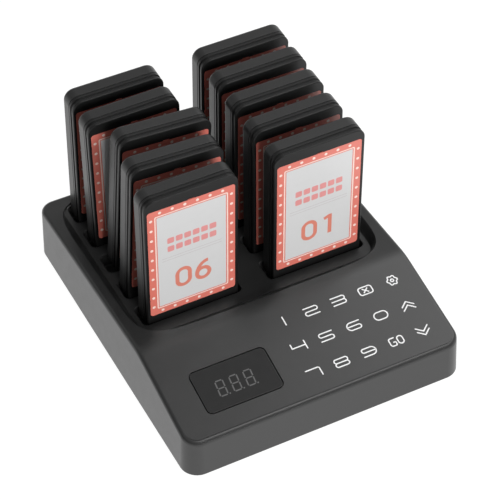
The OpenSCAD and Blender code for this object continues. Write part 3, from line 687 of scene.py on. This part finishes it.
def make_rear_shell_mesh():
    skin = Skin()
    r, rim = PAGER_R, 6.0
    groove, joint = PAGER_R - GROOVE_DEPTH, COVER_T + JOINT_W
    section = profile([(groove, COVER_T), (groove, joint), (r, joint), (r, PAGER_T), (r - rim, PAGER_T)],
                      [0.1, 0.25, PAGER_EDGE_R], steps=6)
    skin.sweep(PAGER_SPOTS, section, UPRIGHT)
    first = -(SOUND_HOLES - 1) / 2 * SOUND_HOLE_PITCH
    holes = [circle(SOUND_HOLE_D / 2, (first + k * SOUND_HOLE_PITCH, PAGER_H - SOUND_HOLE_DROP), 16)
             for k in range(SOUND_HOLES)]
    skin.patch(outline(PAGER_SPOTS, r - rim), holes, on(UPRIGHT, PAGER_T))
    for hole in holes:
        skin.hole(hole, UPRIGHT, PAGER_T, PAGER_T - PAGER_WALL)
    return skin


def number_strokes(digit):
    """Strokes of a plain label number about its middle, as (path, closed)."""
    bowl = [(4.2 * cos(a), -2.7 + 4.3 * sin(a)) for a in (2 * pi * i / 32 for i in range(32))]
    tail = [(3.4 - 7.6 * sin(a), -2.7 + 9.9 * cos(a)) for a in (pi / 2 * i / 16 for i in range(17))]
    small = [(3.7 * cos(a), 3.8 + 3.4 * sin(a)) for a in (2 * pi * i / 32 for i in range(32))]
    big = [(4.2 * cos(a), -3.3 + 3.8 * sin(a)) for a in (2 * pi * i / 32 for i in range(32))]
    crook = [(3.9 * cos(a), 3.1 + 4.0 * sin(a)) for a in (radians(165 - 195 * i / 16) for i in range(17))]
    path = {
        "0": [(fillet_path([(-4.2, -7.1), (4.2, -7.1), (4.2, 7.1), (-4.2, 7.1)], 4.2, True), True)],
        "1": [([(-2.8, 5.3), (1.3, 7.0)], False), ([(1.3, 8.0), (1.3, -8.3)], False)],
        "2": [(crook + [(-3.9, -7.1)], False), ([(-4.6, -7.1), (4.4, -7.1)], False)],
        "3": [(fillet_path([(-4.0, 7.1), (3.6, 7.1), (0, 1.6), (4.2, 1.6), (4.2, -7.1), (-4.2, -7.1)],
                           [0, 0.2, 0.2, 4.0, 4.2, 0]), False)],
        "4": [([(1.2, 8.2), (-4.4, -3.6), (5.0, -3.6)], False), ([(2.2, 1.0), (2.2, -8.3)], False)],
        "5": [(fillet_path([(4.0, 7.1), (-3.3, 7.1), (-3.6, 1.4), (4.2, 1.4), (4.2, -7.1), (-4.0, -7.1)],
                           [0, 0.2, 0.2, 4.0, 4.2, 0]), False)],
        "6": [(bowl, True), (tail, False)],
        "7": [([(-4.4, 7.1), (4.2, 7.1), (-1.2, -8.3)], False)],
        "8": [(small, True), (big, True)],
        "9": [([(-x, -y) for x, y in bowl], True), ([(-x, -y) for x, y in tail], False)],
    }
    return path[digit]


BAND_W, WHITE_LINE_W, RED_LINE_W = 4.7, 0.8, 0.65
DOT_D, DOT_PITCH, DOT_INSET, DOTS_ACROSS, DOTS_UP = 2.1, 8.25, 2.4, 6, 10
NUMBER_MIDDLES, NUMBER_Y, NUMBER_W = (-6.1, 7.1), 25.6, 2.7
TEXT_ROWS, TEXT_BLOCKS, TEXT_PITCH, TEXT_SIZE = (60.4, 53.4), 6, 5.6, (4.5, 4.6)
RULE_ROWS, RULE_HALF, RULE_W = (46.3, 44.2), 20.0, 0.3


def make_label_print(i, materials, place_at):
    """Print on a label: a band with a row of dots, a thin frame, plain blocks and the number."""
    skin = Skin()
    lift = Matrix.Translation((0, CARD_SUNK, CARD_RISE)) @ UPRIGHT

    def at(height):
        return on(lift, -height, -1)

    middle = (0, CARD_H / 2)

    def rect(inset, r):
        return outline(round_rect(CARD_W - 2 * inset, CARD_H - 2 * inset, r, 5, middle), r)

    white, grey, number, text, rule = 1, 2, 3, 4, 5
    above = 1.5 * PRINT_LIFT
    frame_in, line_in = BAND_W + WHITE_LINE_W, BAND_W + WHITE_LINE_W + RED_LINE_W
    skin.patch(rect(BAND_W, 1.2), [rect(frame_in, 0.7)], at(PRINT_LIFT), white)
    skin.patch(rect(line_in, 0.4), [], at(PRINT_LIFT), grey)
    columns = [(x, CARD_H / 2 + (k - (DOTS_UP - 1) / 2) * DOT_PITCH)
               for x in (DOT_INSET - CARD_W / 2, CARD_W / 2 - DOT_INSET) for k in range(DOTS_UP)]
    rows = [((k - (DOTS_ACROSS - 1) / 2) * DOT_PITCH, y)
            for k in range(DOTS_ACROSS) for y in (DOT_INSET, CARD_H - DOT_INSET)]
    for dot in columns + rows:
        skin.patch(circle(DOT_D / 2, dot, 14), [], at(above), white)
    for y in TEXT_ROWS:
        for k in range(TEXT_BLOCKS):
            block = round_rect(*TEXT_SIZE, 0.8, 3, ((k - (TEXT_BLOCKS - 1) / 2) * TEXT_PITCH, y))
            skin.patch(outline(block, 0.8), [], at(above), text)
    for y in RULE_ROWS:
        skin.ribbon([(-RULE_HALF, y), (RULE_HALF, y)], RULE_W, at(above), rule)
    for digit, x in zip(f"{i + 1:02d}", NUMBER_MIDDLES):
        for k, (path, closed) in enumerate(number_strokes(digit)):
            path = [(x + px, NUMBER_Y + py) for px, py in path]
            skin.ribbon(path, NUMBER_W, at(above + PRINT_STEP * k), number, closed)
    name = f"pager_{i + 1:02d}"
    skin.piece(name + "_print", materials, name, "label_red", place=place_at)


def make_pagers(paint):
    cover, shell = make_front_cover_mesh(), make_rear_shell_mesh()
    inks = [paint[kind] for kind in ("band", "white", "grey", "number", "text", "rule")]
    for i, middle in enumerate(slot_middles()):
        name = f"pager_{i + 1:02d}"
        place = pager_matrix(i, middle)
        cover.piece(name + "_cover", [paint["gloss"]], name, "pager_gloss", [name + "_front_cover"], place)
        shell.piece(name + "_shell", [paint["pager"]], name, "pager_matte", [name + "_rear_shell"], place)
        make_label_print(i, inks, place)


# ------------------------------------------------------------------ materials


def srgb(*values):
    """Colour from 0 to 255 values as they show on a screen."""
    if len(values) == 1:
        values = values * 3
    linear = [(v / 255 / 12.92) if v <= 10 else ((v / 255 + 0.055) / 1.055) ** 2.4 for v in values]
    return (*linear, 1.0)


def math_node(tree, kind, *values, clamp=False):
    """Adds a math node that works on numbers and sockets, and gives its output."""
    node = tree.nodes.new("ShaderNodeMath")
    node.operation, node.use_clamp = kind, clamp
    for socket, value in zip(node.inputs, values):
        if isinstance(value, float):
            socket.default_value = value
        else:
            tree.links.new(value, socket)
    return node.outputs[0]


# Sizes of the mottling and of the moulded grain, and how much the roughness strays
MOTTLE_SIZE, GRAIN_SIZE, GRAIN_DEPTH, ROUGHNESS_SPREAD = 6.0, 0.4, 0.05, 0.04


def noise_node(tree, size, detail):
    """Noise of a size in millimetres, fixed to the piece."""
    where, noise = tree.nodes.new("ShaderNodeTexCoord"), tree.nodes.new("ShaderNodeTexNoise")
    noise.inputs["Scale"].default_value = 1 / (size * MM)
    noise.inputs["Detail"].default_value = detail
    tree.links.new(where.outputs["Object"], noise.inputs["Vector"])
    return noise.outputs["Fac"]


def mix_node(tree, share):
    """Mix of the colours A and B."""
    mix = tree.nodes.new("ShaderNodeMix")
    mix.data_type = "RGBA"
    tree.links.new(share, mix.inputs["Factor"])
    return mix


def with_bounce(tree, shown, bounce):
    """The shown colour, but bounce for the light that is thrown on other surfaces."""
    rays = tree.nodes.new("ShaderNodeLightPath").outputs
    mix = mix_node(tree, math_node(tree, "ADD", rays["Is Diffuse Ray"], rays["Is Glossy Ray"], clamp=True))
    tree.links.new(shown, mix.inputs["A"])
    mix.inputs["B"].default_value = bounce
    return mix.outputs["Result"]


def add_grain(tree, shader, strength):
    """Fine moulded grain."""
    bump = tree.nodes.new("ShaderNodeBump")
    bump.inputs["Strength"].default_value = strength
    bump.inputs["Distance"].default_value = GRAIN_DEPTH * MM
    tree.links.new(noise_node(tree, GRAIN_SIZE, 2), bump.inputs["Height"])
    tree.links.new(bump.outputs["Normal"], shader.inputs["Normal"])


def new_material(name, colour, roughness, grain=0.0, coat=0.0, spread=0.08, specular=0.5, bounce=None):
    """Procedural surface with mottled colour and roughness. spread is how much the colour strays."""
    material = bpy.data.materials.new(name)
    material.use_nodes = True
    tree = material.node_tree
    shader = tree.nodes["Principled BSDF"]
    mottle = noise_node(tree, MOTTLE_SIZE, 4)
    mix = mix_node(tree, mottle)
    mix.inputs["A"].default_value = [c * (1 - spread) for c in colour[:3]] + [1]
    mix.inputs["B"].default_value = [c * (1 + spread) for c in colour[:3]] + [1]
    shown = mix.outputs["Result"]
    if bounce:
        shown = with_bounce(tree, shown, bounce)
    tree.links.new(shown, shader.inputs["Base Color"])
    shade = tree.nodes.new("ShaderNodeMapRange")
    shade.inputs["To Min"].default_value = roughness - ROUGHNESS_SPREAD
    shade.inputs["To Max"].default_value = roughness + ROUGHNESS_SPREAD
    tree.links.new(mottle, shade.inputs["Value"])
    tree.links.new(shade.outputs["Result"], shader.inputs["Roughness"])
    shader.inputs["Specular IOR Level"].default_value = specular
    shader.inputs["Coat Weight"].default_value = coat
    shader.inputs["Coat Roughness"].default_value = 0.3
    if grain:
        add_grain(tree, shader, grain)
    return material


def label_ink(name, colour, spread=0.03, bounce=None):
    """Ink under the clear film of a label."""
    return new_material(name, colour, 0.4, coat=0.8, spread=spread, bounce=bounce)


def make_paint():
    return {
        "base": new_material("base plastic", srgb(46), 0.32, grain=0.3, specular=0.65),
        "pager": new_material("pager plastic", srgb(38), 0.38, grain=0.3, specular=0.6),
        "gloss": new_material("pager front", srgb(24), 0.38, grain=0.2, specular=0.42),
        "window": new_material("smoked window", srgb(44), 0.1),
        "digits": new_material("unlit segments", srgb(100), 0.3),
        "legend": new_material("legend ink", srgb(245), 0.5),
        "band": label_ink("label band", srgb(224, 122, 108), bounce=srgb(150)),
        "white": label_ink("label white", srgb(250, 225, 215), spread=0.02),
        "grey": label_ink("label ground", srgb(214), spread=0.02),
        "number": label_ink("label number", srgb(221, 134, 116), bounce=srgb(150)),
        "text": label_ink("label blocks", srgb(226, 150, 148), spread=0.05),
        "rule": new_material("label rule", srgb(196, 190, 190), 0.45, spread=0.05),
        "rubber": new_material("rubber", srgb(30), 0.8, grain=0.4),
        "steel": new_material("zinc steel", srgb(170), 0.35),
        "gold": new_material("gold contact", srgb(214, 176, 90), 0.25),
        "board": new_material("circuit board", srgb(20, 82, 48), 0.4),
        "socket": new_material("socket plastic", srgb(26), 0.35),
    }


def paint_frame(paint):
    """Gives each CAD node its material, which is circuit board where nothing else is named."""
    look = {
        "bottom_cover": "base", "rubber_feet": "rubber", "cover_screws": "steel", "board_screws": "steel",
        "contact_pins": "gold", "display_module": "socket", "buzzer": "socket", "power_inlet": "socket",
        "switch_housing": "socket", "switch_rocker": "gloss",
    }
    for name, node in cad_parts.items():
        kind = look.get(name, "band" if name.endswith("label_card") else "board")
        node.data.materials.clear()
        node.data.materials.append(paint[kind])


# ------------------------------------------------------------------ camera and light

CAMERA_AT = Vector((-0.408529, -0.839348, 0.948654))
CAMERA_AZIMUTH, CAMERA_ELEVATION, CAMERA_ROLL = radians(26.239), radians(43.867), radians(-1.068)
CAMERA_LENS = 148.43


def make_camera():
    a, e = CAMERA_AZIMUTH, CAMERA_ELEVATION
    back = Vector((-sin(a) * cos(e), -cos(a) * cos(e), sin(e)))
    right = (-back).cross(Vector((0, 0, 1))).normalized()
    up = back.cross(right)
    turned_right = right * cos(CAMERA_ROLL) + up * sin(CAMERA_ROLL)
    turned_up = up * cos(CAMERA_ROLL) - right * sin(CAMERA_ROLL)
    data = bpy.data.cameras.new("camera")
    data.lens, data.sensor_width = CAMERA_LENS, 36
    data.clip_start, data.clip_end = 0.01, 20
    camera = bpy.data.objects.new("camera", data)
    turn = Matrix((turned_right, turned_up, back)).transposed().to_4x4()
    camera.matrix_world = Matrix.Translation(CAMERA_AT) @ turn
    bpy.context.scene.collection.objects.link(camera)
    bpy.context.scene.camera = camera


def make_lamp(name, at, size, power):
    """Softbox at a place in metres, aimed just above the middle of the base."""
    data = bpy.data.lights.new(name, "AREA")
    data.shape = "RECTANGLE"
    data.size, data.size_y = size
    data.energy = power
    lamp = bpy.data.objects.new(name, data)
    way = LAMP_AIM - Vector(at)
    lamp.matrix_world = Matrix.Translation(at) @ way.to_track_quat("-Z", "Y").to_matrix().to_4x4()
    bpy.context.scene.collection.objects.link(lamp)
    return lamp


# The floor and the horizon show white to the camera, in gloss and through glass, and light little.
# The horizon's white fades out between two angles above the floor, given by their sines.
FLOOR_SIZE, FLOOR_GREY, FLOOR_WHITE = 8.0, 0.17, 0.955
HORIZON_LOW, HORIZON_HIGH = 0.12, 0.2
ROOM_LIGHT = {"left": 0.05, "right": 0.3, "front": 0.17, "rear": 0.5, "middle": 0.3}
LAMP_AIM = Vector((0, 0, 0.05))
OVERHEAD_POWER, FRONT_POWER, EDGE_POWER = 6.8, 24.3, 2.6


def seen(tree):
    """1 for the rays that show a surface to the camera, straight or in gloss and glass."""
    rays = tree.nodes.new("ShaderNodeLightPath").outputs
    total = math_node(tree, "ADD", rays["Is Camera Ray"], rays["Is Glossy Ray"], clamp=True)
    return math_node(tree, "ADD", total, rays["Is Transmission Ray"], clamp=True)


def make_world():
    """A dim room, brighter on some sides than on others, with a white horizon behind the floor."""
    world = bpy.data.worlds.new("studio")
    world.use_nodes = True
    bpy.context.scene.world = world
    tree = world.node_tree
    shader = tree.nodes["Background"]
    where, parts = tree.nodes.new("ShaderNodeTexCoord"), tree.nodes.new("ShaderNodeSeparateXYZ")
    tree.links.new(where.outputs["Generated"], parts.inputs["Vector"])
    x, y, z = parts.outputs
    shares = {"middle": math_node(tree, "POWER", math_node(tree, "ABSOLUTE", z), 2.0)}
    for side, part, way in (("left", x, -1.0), ("right", x, 1.0), ("front", y, -1.0), ("rear", y, 1.0)):
        shares[side] = math_node(tree, "POWER", math_node(tree, "MULTIPLY", part, way, clamp=True), 2.0)
    room = 0.0
    for side, share in shares.items():
        room = math_node(tree, "MULTIPLY_ADD", share, ROOM_LIGHT[side], room)

    fade = 1 / (HORIZON_HIGH - HORIZON_LOW)
    high = math_node(tree, "MULTIPLY_ADD", z, fade, -HORIZON_LOW * fade, clamp=True)
    white = math_node(tree, "MULTIPLY", math_node(tree, "SUBTRACT", 1.0, high), seen(tree))
    dimmed = math_node(tree, "MULTIPLY", room, math_node(tree, "SUBTRACT", 1.0, white))
    shader.inputs["Color"].default_value = (1, 1, 1, 1)
    tree.links.new(math_node(tree, "ADD", white, dimmed), shader.inputs["Strength"])


def floor_material():
    """White to look at but grey to light, so that it keeps shadows, and clear from below."""
    material = bpy.data.materials.new("floor")
    material.use_nodes = True
    tree = material.node_tree
    shader = tree.nodes["Principled BSDF"]
    shader.inputs["Base Color"].default_value = (FLOOR_GREY, FLOOR_GREY, FLOOR_GREY, 1)
    shader.inputs["Roughness"].default_value = 1.0
    shader.inputs["Specular IOR Level"].default_value = 0.0
    shader.inputs["Emission Color"].default_value = (1, 1, 1, 1)
    glow = math_node(tree, "MULTIPLY", seen(tree), FLOOR_WHITE)
    tree.links.new(glow, shader.inputs["Emission Strength"])
    side, clear = tree.nodes.new("ShaderNodeNewGeometry"), tree.nodes.new("ShaderNodeBsdfTransparent")
    mix = tree.nodes.new("ShaderNodeMixShader")
    tree.links.new(side.outputs["Backfacing"], mix.inputs["Fac"])
    tree.links.new(shader.outputs["BSDF"], mix.inputs[1])
    tree.links.new(clear.outputs["BSDF"], mix.inputs[2])
    tree.links.new(mix.outputs["Shader"], tree.nodes["Material Output"].inputs["Surface"])
    return material


def make_floor():
    half = FLOOR_SIZE / 2
    mesh = bpy.data.meshes.new("floor")
    corners = [(-half, -half, 0), (half, -half, 0), (half, half, 0), (-half, half, 0)]
    mesh.from_pydata(corners, [], [(0, 1, 2, 3)])
    mesh.materials.append(floor_material())
    floor = bpy.data.objects.new("floor", mesh)
    bpy.context.scene.collection.objects.link(floor)


def make_studio():
    make_world()
    make_floor()
    make_lamp("overhead softbox", at=(1.0, 0.3, 1.25), size=(1.1, 1.0), power=OVERHEAD_POWER)
    front = make_lamp("front softbox", at=(0.05, -1.5, 0.6), size=(0.9, 0.6), power=FRONT_POWER)
    front.visible_glossy = False
    edge = make_lamp("edge strip", at=(0.35, -0.45, 1.15), size=(0.6, 0.45), power=EDGE_POWER)
    edge.visible_diffuse = False
    bpy.context.scene.view_settings.view_transform = "Standard"


# ------------------------------------------------------------------ the scene

paint = make_paint()
make_top_shell(paint["base"])
make_window(paint["window"], paint["socket"])
make_display_digits(paint["digits"])
make_key_legends(paint["legend"])
make_pagers(paint)
paint_frame(paint)
make_camera()
make_studio()
